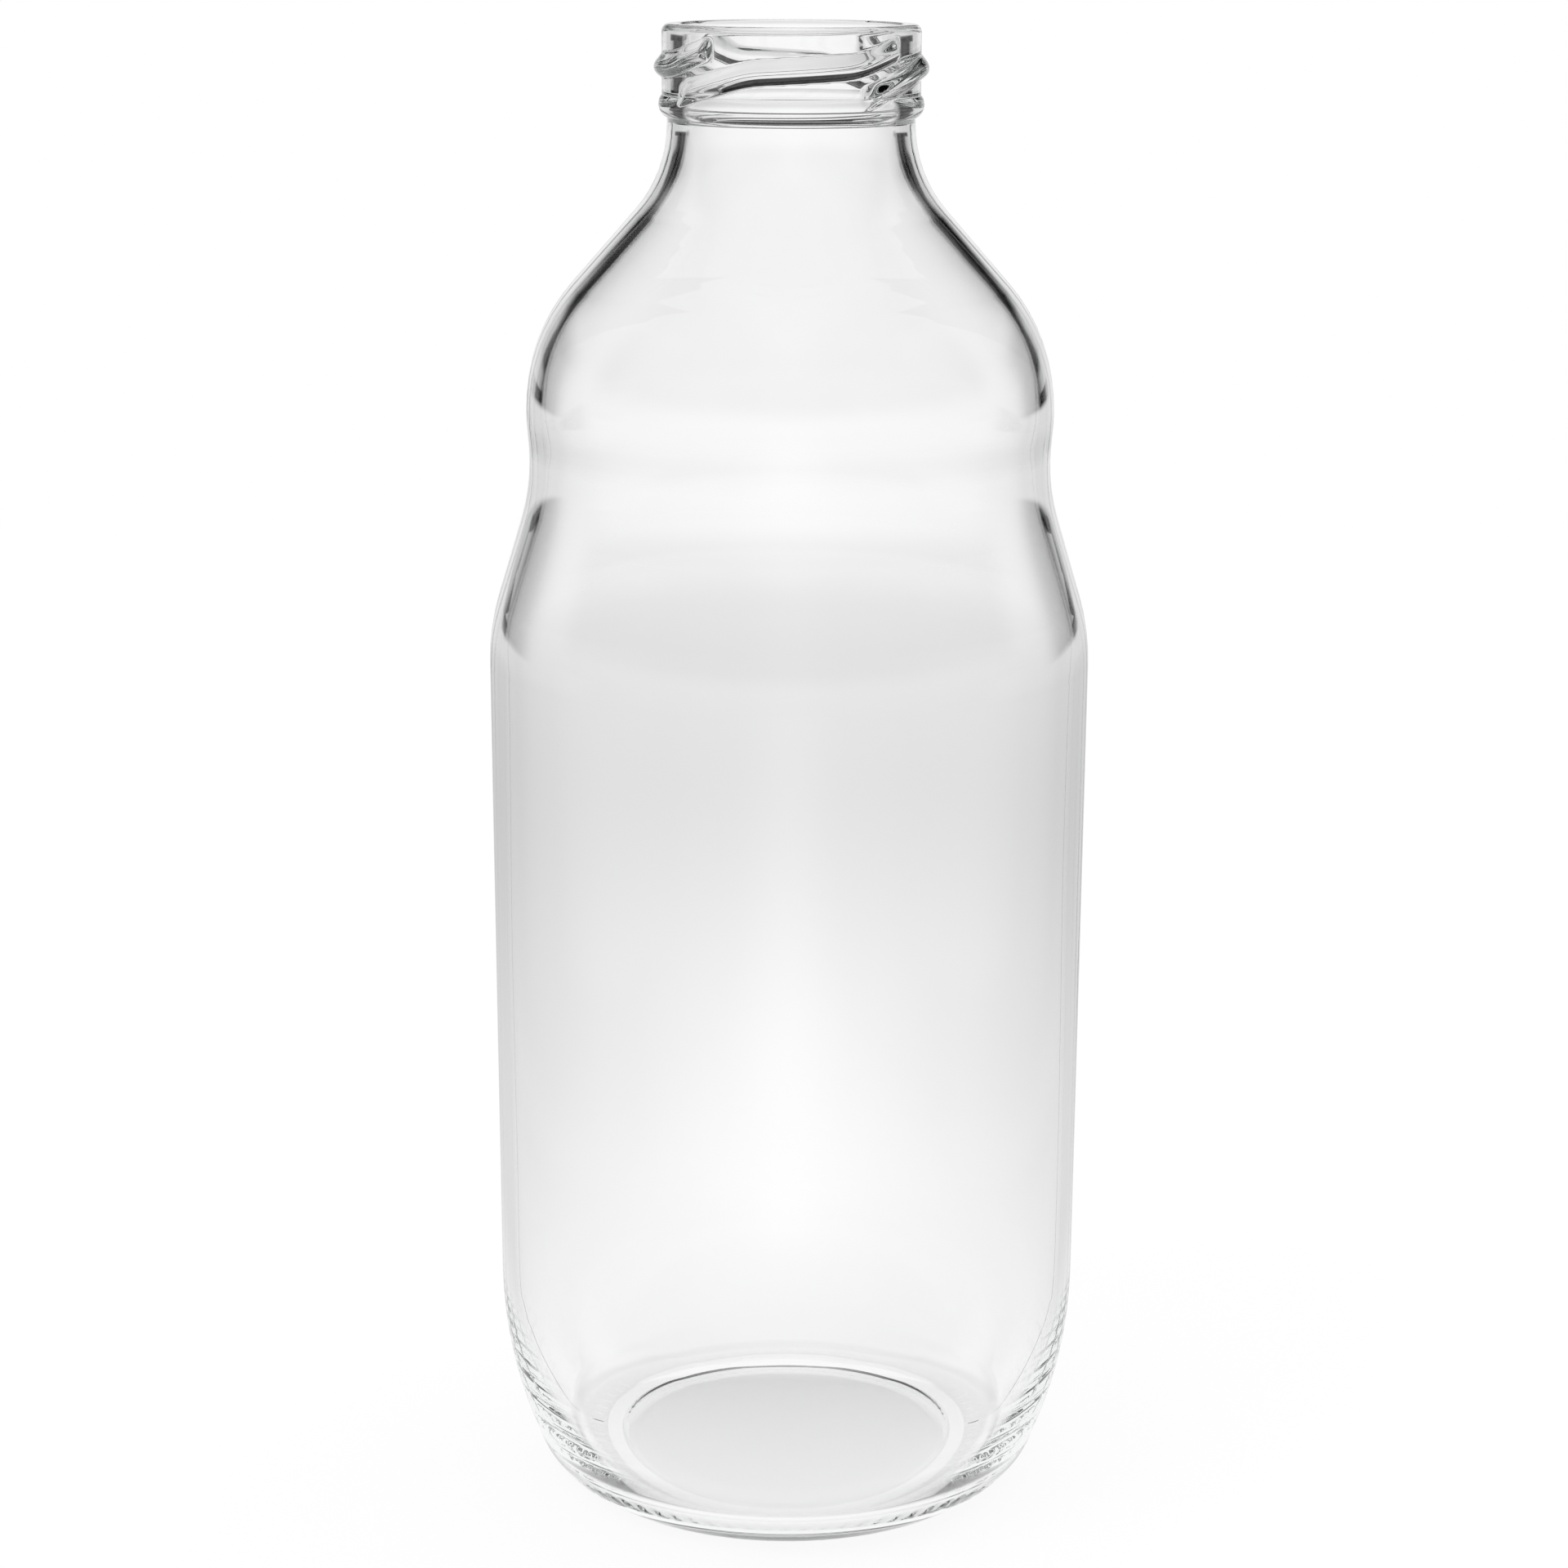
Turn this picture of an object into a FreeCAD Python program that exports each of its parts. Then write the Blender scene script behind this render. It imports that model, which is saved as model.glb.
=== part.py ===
"""A one-litre glass milk bottle with a wide twist-off mouth.

Millimetres, +Z up, origin on the floor under the middle of the base. The bottle is one piece of
moulded glass, held here in the regions that a glassmaker names: the finish, the shoulder, the
barrel, the heel and the base. They share the same wall at each cut, face to face.
"""

import FreeCAD, Part
import math
import os

import Sketcher

SIZES = {
    # Heights, stacked from both ends: the straight barrel takes what is left
    "bottle_height": 236.0,
    "finish_height": 15.0,
    "shoulder_height": 44.0,
    "waist_drop": 7.8,
    "step_height": 32.0,
    "heel_height": 35.4,
    # Finish: the ring around the mouth that takes the closure
    "finish_diameter": 39.8,
    "finish_wall": 3.15,
    "lip_outer_radius": 1.2,
    "lip_inner_radius": 0.9,
    "bore_taper_length": 3.5,
    "bead_proud": 0.53,
    "bead_radius": 2.2,
    "neck_inset": 0.85,
    "neck_land": 0.86,
    # Lugs: half-round ridges that pull the closure down, in three stretches
    "lug_count": 4,
    "lug_radius": 1.7,
    "lug_end_radius": 0.8,
    "lug_root_depth": 0.5,
    "lug_top_drop": 3.3,
    "lug_lead_fall": 2.7,
    "lug_hold_fall": 0.95,
    "lug_run_out_fall": 3.9,
    "lug_start_angle": -36.0,
    "lug_lead_angle": 25.0,
    "lug_hold_angle": 47.0,
    "lug_run_out_angle": 41.0,
    # Neck and shoulder
    "neck_wall": 2.8,
    "neck_curve_radius": 20.0,
    "shoulder_straight": 14.9,
    "shoulder_wall": 2.3,
    "bulge_inset": 6.28,
    # Waist and the step down to the barrel
    "waist_depth": 0.4,
    "waist_wall": 2.4,
    "waist_curve_radius": 33.0,
    "step_straight": 13.2,
    # Barrel, with the slight draft of the mould
    "barrel_diameter": 95.1,
    "barrel_draft": 0.35,
    "barrel_wall": 2.1,
    # Heel: the round between the barrel and the foot
    "foot_inset": 16.0,
    "foot_radius": 11.1,
    "corner_inset": 13.9,
    "corner_radius": 8.0,
    "base_seam_inset": 11.0,
    # Base: bearing ring, hollow underside and inner floor
    "bearing_width": 3.0,
    "push_up_run": 1.5,
    "push_up_step": 0.5,
    "push_up_height": 1.8,
    "floor_edge_height": 4.0,
    "floor_crown": 1.8,
}

# Places that several regions share, as formulas of the sizes
FINISH_R = "(Sizes.finish_diameter / 2)"
BORE_R = f"({FINISH_R} - Sizes.finish_wall)"
NECK_R = f"({FINISH_R} - Sizes.neck_inset)"
NECK_BORE_R = f"({NECK_R} - Sizes.neck_wall)"
BARREL_R = "(Sizes.barrel_diameter / 2)"
FOOT_R = f"({BARREL_R} - Sizes.barrel_draft)"
BULGE_R = f"({BARREL_R} - Sizes.bulge_inset)"
WAIST_R = f"({BULGE_R} - Sizes.waist_depth)"
INNER_WAIST_R = f"({WAIST_R} - Sizes.waist_wall)"
INNER_FOOT_R = f"({FOOT_R} - Sizes.barrel_wall)"
BEARING_R = f"({FOOT_R} - Sizes.foot_inset)"
CORNER_R = f"({INNER_FOOT_R} - Sizes.corner_inset)"
SEAM_R = f"({FOOT_R} - Sizes.base_seam_inset)"
NECK_Z = "(Sizes.bottle_height - Sizes.finish_height)"
BULGE_Z = f"({NECK_Z} - Sizes.shoulder_height)"
WAIST_Z = f"({BULGE_Z} - Sizes.waist_drop)"
BARREL_TOP_Z = f"({WAIST_Z} - Sizes.step_height)"
HEEL_Z = "Sizes.heel_height"
RIM_Z = "Sizes.bottle_height"
CORNER_Z = "(Sizes.floor_edge_height + Sizes.corner_radius)"
FLOOR_Z = "(Sizes.floor_edge_height + Sizes.floor_crown)"

CENTRE = "centre"

doc = FreeCAD.newDocument("milk_bottle")
sheet = doc.addObject("Spreadsheet::Sheet", "Sizes")
for row, (alias, size) in enumerate(SIZES.items(), start=1):
    sheet.set(f"A{row}", alias)
    sheet.set(f"B{row}", str(size))
    sheet.setAlias(f"B{row}", alias)
doc.recompute()


def value(formula):
    """The present value of a formula of the sheet's sizes."""
    return float(sheet.evalExpression(formula))


def point(across, up):
    """A point of the sketch plane from two formulas."""
    return FreeCAD.Vector(value(across), value(up), 0)


def towards(start, end, distance):
    """The point that lies a distance from start, on the way to end."""
    return start + (end - start).normalize() * distance


class Outline:
    """A closed sketch in the XZ plane: lines and arcs in order, held by the sheet's sizes."""

    # The sketcher's own numbers for its origin, and for its level and upright axes
    ORIGIN = (-1, 1)
    AXES = (-1, -2)

    def __init__(self, body, name):
        plane = next(f for f in body.Origin.OriginFeatures if f.Role == "XZ_Plane")
        self.sketch = body.newObject("Sketcher::SketchObject", name)
        self.sketch.AttachmentSupport = [(plane, "")]
        self.sketch.MapMode = "FlatFace"
        self.ends = []

    def swing(self, formula):
        """Turn the sketch about the bottle's axis by an angle of the sheet."""
        self.sketch.AttachmentOffset = FreeCAD.Placement(
            FreeCAD.Vector(0, 0, 0), FreeCAD.Rotation(FreeCAD.Vector(0, 1, 0), value(formula))
        )
        self.sketch.setExpression("AttachmentOffset.Rotation.Angle", formula)

    def line(self, start, end):
        """Draw a line and return its number."""
        self.sketch.addGeometry(Part.LineSegment(start, end))
        self.ends.append((1, 2))
        return len(self.ends) - 1

    def arc(self, centre, start, end):
        """Draw the shorter arc from start to end and return its number."""
        circle = Part.Circle(centre, FreeCAD.Vector(0, 0, 1), (start - centre).Length)
        first = math.atan2(start.y - centre.y, start.x - centre.x)
        last = math.atan2(end.y - centre.y, end.x - centre.x)
        turns_left = (last - first) % (2 * math.pi) < math.pi
        if turns_left:
            self.sketch.addGeometry(Part.ArcOfCircle(circle, first, last))
            self.ends.append((1, 2))
        else:
            self.sketch.addGeometry(Part.ArcOfCircle(circle, last, first))
            self.ends.append((2, 1))
        return len(self.ends) - 1

    def half_round(self, centre, radius):
        """Draw the outer half of a circle, from its bottom to its top, and return its number."""
        circle = Part.Circle(centre, FreeCAD.Vector(0, 0, 1), radius)
        self.sketch.addGeometry(Part.ArcOfCircle(circle, -math.pi / 2, math.pi / 2))
        self.ends.append((1, 2))
        return len(self.ends) - 1

    def hold(self, *rule):
        """Add a constraint and return its number."""
        return self.sketch.addConstraint(Sketcher.Constraint(*rule))

    def bind(self, formula, *rule):
        """Add a constraint whose size is a formula of the sheet."""
        number = self.hold(*rule, value(formula))
        self.sketch.setExpression(f"Constraints[{number}]", formula)

    def meet(self, first, second):
        """Join the end of one piece to the start of the next at a corner."""
        self.hold("Coincident", first, self.ends[first][1], second, self.ends[second][0])

    def flow(self, first, second):
        """Join the end of one piece to the start of the next with no corner."""
        self.hold("Tangent", first, self.ends[first][1], second, self.ends[second][0])

    def place(self, piece, end):
        """The sketcher's address of a piece's start (0), end (1) or centre."""
        return (piece, 3) if end == CENTRE else (piece, self.ends[piece][end])

    def at(self, piece, end, across=None, up=None):
        """Place a point of a piece by its distance from the axis and its height."""
        if across:
            self.bind(across, "DistanceX", *self.ORIGIN, *self.place(piece, end))
        if up:
            self.bind(up, "DistanceY", *self.ORIGIN, *self.place(piece, end))

    def on_axis(self, piece, end):
        """Keep a point of a piece on the bottle's axis."""
        self.hold("PointOnObject", *self.place(piece, end), self.AXES[1])

    def on_floor(self, piece, end):
        """Keep a point of a piece on the floor."""
        self.hold("PointOnObject", *self.place(piece, end), self.AXES[0])

    def upright(self, arc, end):
        """Make an arc run straight up at its start (0) or end (1)."""
        self.hold("Horizontal", *self.place(arc, CENTRE), *self.place(arc, end))

    def close(self, sections):
        """Join the last piece of each section to the first of the next, all the way round."""
        for section, following in zip(sections, sections[1:] + sections[:1]):
            self.meet(section[-1], following[0])


def new_region(label):
    """A body for one region of the glass."""
    body = doc.addObject("PartDesign::Body", label)
    body.Label = label
    return body


def turn(body, outline):
    """Revolve a finished outline about the bottle's axis."""
    doc.recompute()
    revolution = body.newObject("PartDesign::Revolution", "Turned")
    revolution.Profile = outline.sketch
    revolution.ReferenceAxis = (outline.sketch, ["V_Axis"])
    revolution.Angle = 360
    body.Tip = revolution
    doc.recompute()


def sweep_out(outline, top, bottom, curve_radius, straight, upward=False):
    """Draw an arc, a straight and an arc that lead from one upright wall to a wider one below.

    The first arc is hollow and the last one round. The turn and the last radius follow from
    the two ends, the first radius and the length of the straight.
    """
    top_point = point(*top)
    bottom_point = point(*bottom)
    first_radius = value(curve_radius)
    length = value(straight)
    run = bottom_point.x - top_point.x
    fall = top_point.y - bottom_point.y
    half_turn = math.atan2(run, fall + length)
    chord = math.hypot(run, fall) * math.cos(math.atan2(run, fall) - half_turn)
    both_radii = (chord - length * math.cos(half_turn)) / (2 * math.sin(half_turn))
    last_radius = both_radii - first_radius
    spoke = FreeCAD.Vector(math.cos(2 * half_turn), math.sin(2 * half_turn), 0)
    hollow_centre = top_point + FreeCAD.Vector(first_radius, 0, 0)
    round_centre = bottom_point - FreeCAD.Vector(last_radius, 0, 0)
    hollow_end = hollow_centre - spoke * first_radius
    round_end = round_centre + spoke * last_radius
    if upward:
        rounded = outline.arc(round_centre, bottom_point, round_end)
        middle = outline.line(round_end, hollow_end)
        hollow = outline.arc(hollow_centre, hollow_end, top_point)
        chain = [rounded, middle, hollow]
    else:
        hollow = outline.arc(hollow_centre, top_point, hollow_end)
        middle = outline.line(hollow_end, round_end)
        rounded = outline.arc(round_centre, round_end, bottom_point)
        chain = [hollow, middle, rounded]
    outline.flow(chain[0], chain[1])
    outline.flow(chain[1], chain[2])
    outline.upright(chain[0], 0)
    outline.upright(chain[2], 1)
    outline.bind(curve_radius, "Radius", hollow)
    outline.bind(straight, "Distance", middle)
    return chain


def swell(outline, top, bottom, upward=False):
    """Draw two equal arcs that lead from one upright wall to a slightly narrower one below."""
    top_point = point(*top)
    bottom_point = point(*bottom)
    run = top_point.x - bottom_point.x
    fall = top_point.y - bottom_point.y
    radius = (fall ** 2 + run ** 2) / (4 * run)
    middle = (top_point + bottom_point) * 0.5
    round_centre = top_point - FreeCAD.Vector(radius, 0, 0)
    hollow_centre = bottom_point + FreeCAD.Vector(radius, 0, 0)
    if upward:
        hollow = outline.arc(hollow_centre, bottom_point, middle)
        rounded = outline.arc(round_centre, middle, top_point)
        chain = [hollow, rounded]
    else:
        rounded = outline.arc(round_centre, top_point, middle)
        hollow = outline.arc(hollow_centre, middle, bottom_point)
        chain = [rounded, hollow]
    outline.flow(*chain)
    outline.upright(chain[0], 0)
    outline.upright(chain[1], 1)
    outline.hold("Equal", *chain)
    return chain


def round_down(outline, wall_r, corner, tight_radius, upward=False):
    """Draw the long arc and the tight arc that lead from the barrel's wall in to the base seam."""
    wall_point = point(wall_r, HEEL_Z)
    centre = point(*corner)
    tight = value(tight_radius)
    inset = wall_point.x - centre.x
    rise = wall_point.y - centre.y
    long_radius = (inset ** 2 + rise ** 2 - tight ** 2) / (2 * (inset - tight))
    long_centre = wall_point - FreeCAD.Vector(long_radius, 0, 0)
    change = towards(long_centre, centre, long_radius)
    seam_point = below(centre, tight)
    if upward:
        tight_arc = outline.arc(centre, seam_point, change)
        long_arc = outline.arc(long_centre, change, wall_point)
        chain = [tight_arc, long_arc]
    else:
        long_arc = outline.arc(long_centre, wall_point, change)
        tight_arc = outline.arc(centre, change, seam_point)
        chain = [long_arc, tight_arc]
    outline.flow(*chain)
    outline.upright(long_arc, 1 if upward else 0)
    outline.at(long_arc, 1 if upward else 0, wall_r, HEEL_Z)
    outline.bind(tight_radius, "Radius", tight_arc)
    outline.at(tight_arc, CENTRE, *corner)
    outline.at(tight_arc, 0 if upward else 1, across=SEAM_R)
    return chain


def below(centre, radius):
    """The point of a circle that lies on the base seam, under the circle's centre."""
    out = value(SEAM_R) - centre.x
    return centre + FreeCAD.Vector(out, -math.sqrt(radius ** 2 - out ** 2), 0)


def build_neck_finish():
    """The mouth: rounded lip, lugs, transfer bead and the top of the neck."""
    body = new_region("neck_finish")
    outline = Outline(body, "FinishOutline")
    lip_out_z = f"({RIM_Z} - Sizes.lip_outer_radius)"
    lip_in_z = f"({RIM_Z} - Sizes.lip_inner_radius)"
    lip_out_r = f"({FINISH_R} - Sizes.lip_outer_radius)"
    lip_in_r = f"({BORE_R} + Sizes.lip_inner_radius)"
    land_z = f"({NECK_Z} + Sizes.neck_land)"
    taper_z = f"({NECK_Z} + Sizes.bore_taper_length)"
    bead_r = f"({FINISH_R} + Sizes.bead_proud - Sizes.bead_radius)"
    # The bead's round runs from the neck, past its crest, to the plain wall above
    bead_start = point(NECK_R, land_z)
    bead_radius = value("Sizes.bead_radius")
    below_crest = math.sqrt(bead_radius ** 2 - (value(NECK_R) - value(bead_r)) ** 2)
    above_crest = math.sqrt(bead_radius ** 2 - (value(FINISH_R) - value(bead_r)) ** 2)
    bead_centre = FreeCAD.Vector(value(bead_r), bead_start.y + below_crest, 0)
    bead_end = FreeCAD.Vector(value(FINISH_R), bead_centre.y + above_crest, 0)
    wall_end = point(FINISH_R, lip_out_z)
    rim_start = point(lip_out_r, RIM_Z)
    rim_end = point(lip_in_r, RIM_Z)
    bore_start = point(BORE_R, lip_in_z)
    bore_end = point(BORE_R, taper_z)

    neck = outline.line(point(NECK_R, NECK_Z), bead_start)
    bead = outline.arc(bead_centre, bead_start, bead_end)
    wall = outline.line(bead_end, wall_end)
    lip_out = outline.arc(point(lip_out_r, lip_out_z), wall_end, rim_start)
    rim = outline.line(rim_start, rim_end)
    lip_in = outline.arc(point(lip_in_r, lip_in_z), rim_end, bore_start)
    bore = outline.line(bore_start, bore_end)
    taper = outline.line(bore_end, point(NECK_BORE_R, NECK_Z))
    cut = outline.line(point(NECK_BORE_R, NECK_Z), point(NECK_R, NECK_Z))

    for first, second in ((neck, bead), (bead, wall), (bore, taper), (taper, cut), (cut, neck)):
        outline.meet(first, second)
    for first, second in ((wall, lip_out), (lip_out, rim), (rim, lip_in), (lip_in, bore)):
        outline.flow(first, second)
    for upright in (neck, wall, bore):
        outline.hold("Vertical", upright)
    outline.hold("Horizontal", rim)
    outline.hold("Horizontal", cut)
    outline.at(neck, 0, NECK_R, NECK_Z)
    outline.at(neck, 1, up=land_z)
    outline.bind("Sizes.bead_radius", "Radius", bead)
    outline.at(bead, CENTRE, across=bead_r)
    outline.at(wall, 1, across=FINISH_R)
    outline.at(rim, 0, up=RIM_Z)
    outline.bind("Sizes.lip_outer_radius", "Radius", lip_out)
    outline.bind("Sizes.lip_inner_radius", "Radius", lip_in)
    outline.at(bore, 1, BORE_R, taper_z)
    outline.at(taper, 1, across=NECK_BORE_R)
    turn(body, outline)
    add_lugs(body, outline)
    return body


def along_lug(passed, measure):
    """Formula of the angle or the fall along a lug, where shares of its three stretches are passed."""
    stretches = ("lead", "hold", "run_out")
    return " + ".join(f"{share} * Sizes.lug_{name}_{measure}" for name, share in zip(stretches, passed))


def lug_section(body, name, passed, radius):
    """Draw a lug's half-round section in an upright plane through the bottle's axis."""
    height = f"({RIM_Z} - Sizes.lug_top_drop - ({along_lug(passed, 'fall')}))"
    centre = (f"({FINISH_R} - Sizes.lug_root_depth)", height)
    middle = point(*centre)
    reach = FreeCAD.Vector(0, value(radius), 0)
    outline = Outline(body, name)
    outline.swing(f"Sizes.lug_start_angle - ({along_lug(passed, 'angle')})")
    crest = outline.half_round(middle, value(radius))
    root = outline.line(middle + reach, middle - reach)
    outline.meet(crest, root)
    outline.meet(root, crest)
    outline.at(crest, CENTRE, *centre)
    outline.bind(radius, "Radius", crest)
    for end in (0, 1):
        outline.hold("Vertical", *outline.place(crest, CENTRE), *outline.place(crest, end))
    return outline.sketch


def add_lugs(body, outline):
    """Loft one lug through its sections and repeat it round the mouth."""
    full = "Sizes.lug_radius"
    tip = "Sizes.lug_end_radius"
    stations = [
        ((0, 0, 0), tip),
        ((0.2, 0, 0), full),
        ((1, 0, 0), full),
        ((1, 0.5, 0), full),
        ((1, 1, 0), full),
        ((1, 1, 0.5), full),
        ((1, 1, 1), tip),
    ]
    sections = [
        lug_section(body, f"LugSection{number}", *station)
        for number, station in enumerate(stations, start=1)
    ]
    doc.recompute()
    lug = body.newObject("PartDesign::AdditiveLoft", "Lug")
    lug.Profile = sections[0]
    lug.Sections = sections[1:]
    body.Tip = lug
    doc.recompute()
    lugs = body.newObject("PartDesign::PolarPattern", "Lugs")
    lugs.Originals = [lug]
    lugs.Axis = (outline.sketch, ["V_Axis"])
    lugs.Angle = 360
    lugs.setExpression("Occurrences", "Sizes.lug_count")
    body.Tip = lugs
    doc.recompute()


def build_shoulder():
    """The neck's flare, the domed shoulder and the soft bulge above the waist."""
    body = new_region("shoulder")
    outline = Outline(body, "ShoulderOutline")
    neck = (NECK_R, NECK_Z)
    bulge = (BULGE_R, BULGE_Z)
    waist = (WAIST_R, WAIST_Z)
    inner_neck = (NECK_BORE_R, NECK_Z)
    inner_bulge = (f"({BULGE_R} - Sizes.shoulder_wall)", BULGE_Z)
    inner_waist = (INNER_WAIST_R, WAIST_Z)
    curve = "Sizes.neck_curve_radius"
    inner_curve = "(Sizes.neck_curve_radius + Sizes.neck_wall)"
    straight = "Sizes.shoulder_straight"

    dome = sweep_out(outline, neck, bulge, curve, straight)
    swelling = swell(outline, bulge, waist)
    bottom = outline.line(point(*waist), point(*inner_waist))
    inner_swelling = swell(outline, inner_bulge, inner_waist, upward=True)
    inner_dome = sweep_out(outline, inner_neck, inner_bulge, inner_curve, straight, upward=True)
    top = outline.line(point(*inner_neck), point(*neck))

    outline.close([dome, swelling, [bottom], inner_swelling, inner_dome, [top]])
    outline.at(dome[0], 0, *neck)
    outline.at(swelling[0], 0, *bulge)
    outline.at(bottom, 0, *waist)
    outline.at(inner_swelling[0], 0, *inner_waist)
    outline.at(inner_dome[0], 0, *inner_bulge)
    outline.at(top, 0, *inner_neck)
    turn(body, outline)
    return body


def build_barrel():
    """The step out from the waist and the straight barrel, with its slight draft."""
    body = new_region("barrel")
    outline = Outline(body, "BarrelOutline")
    waist = (WAIST_R, WAIST_Z)
    barrel_top = (BARREL_R, BARREL_TOP_Z)
    foot = (FOOT_R, HEEL_Z)
    inner_waist = (INNER_WAIST_R, WAIST_Z)
    inner_top = (f"({BARREL_R} - Sizes.barrel_wall)", BARREL_TOP_Z)
    inner_foot = (INNER_FOOT_R, HEEL_Z)
    curve = "Sizes.waist_curve_radius"
    inner_curve = "(Sizes.waist_curve_radius + Sizes.waist_wall)"
    straight = "Sizes.step_straight"

    step = sweep_out(outline, waist, barrel_top, curve, straight)
    side = outline.line(point(*barrel_top), point(*foot))
    bottom = outline.line(point(*foot), point(*inner_foot))
    inner_side = outline.line(point(*inner_foot), point(*inner_top))
    inner_step = sweep_out(outline, inner_waist, inner_top, inner_curve, straight, upward=True)
    top = outline.line(point(*inner_waist), point(*waist))

    outline.close([step, [side], [bottom], [inner_side], inner_step, [top]])
    outline.at(step[0], 0, *waist)
    outline.at(side, 0, *barrel_top)
    outline.at(bottom, 0, *foot)
    outline.at(inner_side, 0, *inner_foot)
    outline.at(inner_step[0], 0, *inner_top)
    outline.at(top, 0, *inner_waist)
    turn(body, outline)
    return body


def build_heel():
    """The rounded lower edge, thickest where it turns in to the base."""
    body = new_region("heel")
    outline = Outline(body, "HeelOutline")
    foot_centre = (BEARING_R, "Sizes.foot_radius")
    corner_centre = (CORNER_R, CORNER_Z)
    seam_low = below(point(*foot_centre), value("Sizes.foot_radius"))
    seam_high = below(point(*corner_centre), value("Sizes.corner_radius"))

    outside = round_down(outline, FOOT_R, foot_centre, "Sizes.foot_radius")
    seam = outline.line(seam_low, seam_high)
    inside = round_down(outline, INNER_FOOT_R, corner_centre, "Sizes.corner_radius", upward=True)
    top = outline.line(point(INNER_FOOT_R, HEEL_Z), point(FOOT_R, HEEL_Z))

    outline.close([outside, [seam], inside, [top]])
    turn(body, outline)
    return body


def build_base():
    """The bearing ring, the hollow underside and the domed inner floor."""
    body = new_region("base")
    outline = Outline(body, "BaseOutline")
    ring_inner_r = f"({BEARING_R} - Sizes.bearing_width)"
    hollow_r = f"({ring_inner_r} - Sizes.push_up_run)"
    foot_centre = point(BEARING_R, "Sizes.foot_radius")
    seam_low = below(foot_centre, value("Sizes.foot_radius"))
    ring_outer = point(BEARING_R, "0")
    ring_inner = point(ring_inner_r, "0")
    hollow_edge = point(hollow_r, "Sizes.push_up_step")
    hollow_top = point("0", "Sizes.push_up_height")
    arch = value("Sizes.push_up_height - Sizes.push_up_step")
    hollow_radius = (hollow_edge.x ** 2 + arch ** 2) / (2 * arch)
    hollow_centre = hollow_top - FreeCAD.Vector(0, hollow_radius, 0)
    # The floor's dome runs on into the hollow of the corner
    corner_centre = point(CORNER_R, CORNER_Z)
    corner_radius = value("Sizes.corner_radius")
    seam_high = below(corner_centre, corner_radius)
    floor_top = point("0", FLOOR_Z)
    above_floor = corner_centre.y - floor_top.y
    floor_radius = (corner_centre.x ** 2 + above_floor ** 2 - corner_radius ** 2) / (
        2 * (corner_radius - above_floor)
    )
    floor_centre = floor_top - FreeCAD.Vector(0, floor_radius, 0)
    floor_end = towards(floor_centre, corner_centre, floor_radius)

    foot = outline.arc(foot_centre, seam_low, ring_outer)
    ring = outline.line(ring_outer, ring_inner)
    ramp = outline.line(ring_inner, hollow_edge)
    hollow = outline.arc(hollow_centre, hollow_edge, hollow_top)
    axis = outline.line(hollow_top, floor_top)
    floor = outline.arc(floor_centre, floor_top, floor_end)
    corner = outline.arc(corner_centre, floor_end, seam_high)
    seam = outline.line(seam_high, seam_low)

    outline.flow(foot, ring)
    outline.flow(floor, corner)
    for first, second in ((ring, ramp), (ramp, hollow), (hollow, axis), (axis, floor)):
        outline.meet(first, second)
    outline.meet(corner, seam)
    outline.meet(seam, foot)
    outline.at(foot, CENTRE, BEARING_R, "Sizes.foot_radius")
    outline.at(foot, 0, across=SEAM_R)
    outline.on_floor(ring, 0)
    outline.on_floor(ring, 1)
    outline.at(ring, 1, across=ring_inner_r)
    outline.at(ramp, 1, hollow_r, "Sizes.push_up_step")
    for piece, end in ((hollow, CENTRE), (axis, 0), (axis, 1), (floor, CENTRE)):
        outline.on_axis(piece, end)
    outline.at(axis, 0, up="Sizes.push_up_height")
    outline.at(axis, 1, up=FLOOR_Z)
    outline.at(corner, CENTRE, CORNER_R, CORNER_Z)
    outline.bind("Sizes.corner_radius", "Radius", corner)
    outline.at(corner, 1, across=SEAM_R)
    turn(body, outline)
    return body


regions = [build_neck_finish(), build_shoulder(), build_barrel(), build_heel(), build_base()]
doc.recompute()

for item in doc.Objects:
    if "Invalid" in item.State or "Error" in item.State:
        raise RuntimeError(f"{item.Label} did not build")
for region in regions:
    shape = region.Shape
    if shape.isNull() or not shape.isValid() or len(shape.Solids) != 1:
        raise RuntimeError(f"{region.Label} has no sound solid")

os.makedirs("parts", exist_ok=True)
for region in regions:
    region.Shape.exportStep(f"parts/{region.Label}.step")
    print(f"{region.Label}: {region.Shape.Volume / 1000:.1f} cm3")
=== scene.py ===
"""Clear glass milk bottle: one unbroken skin of glass on the packed frame, in a white studio.

The bottle is a turned outline, walked once from the middle of the base, up the outside, over the
lip and down the inside, and swept round the axis. Lugs, knurling, mould seams and the slight
unevenness of blown glass are pressed into that skin.
"""

import math

import bmesh
import bpy
from bpy.props import FloatProperty, FloatVectorProperty, IntProperty, PointerProperty
from mathutils import Matrix, Vector


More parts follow.
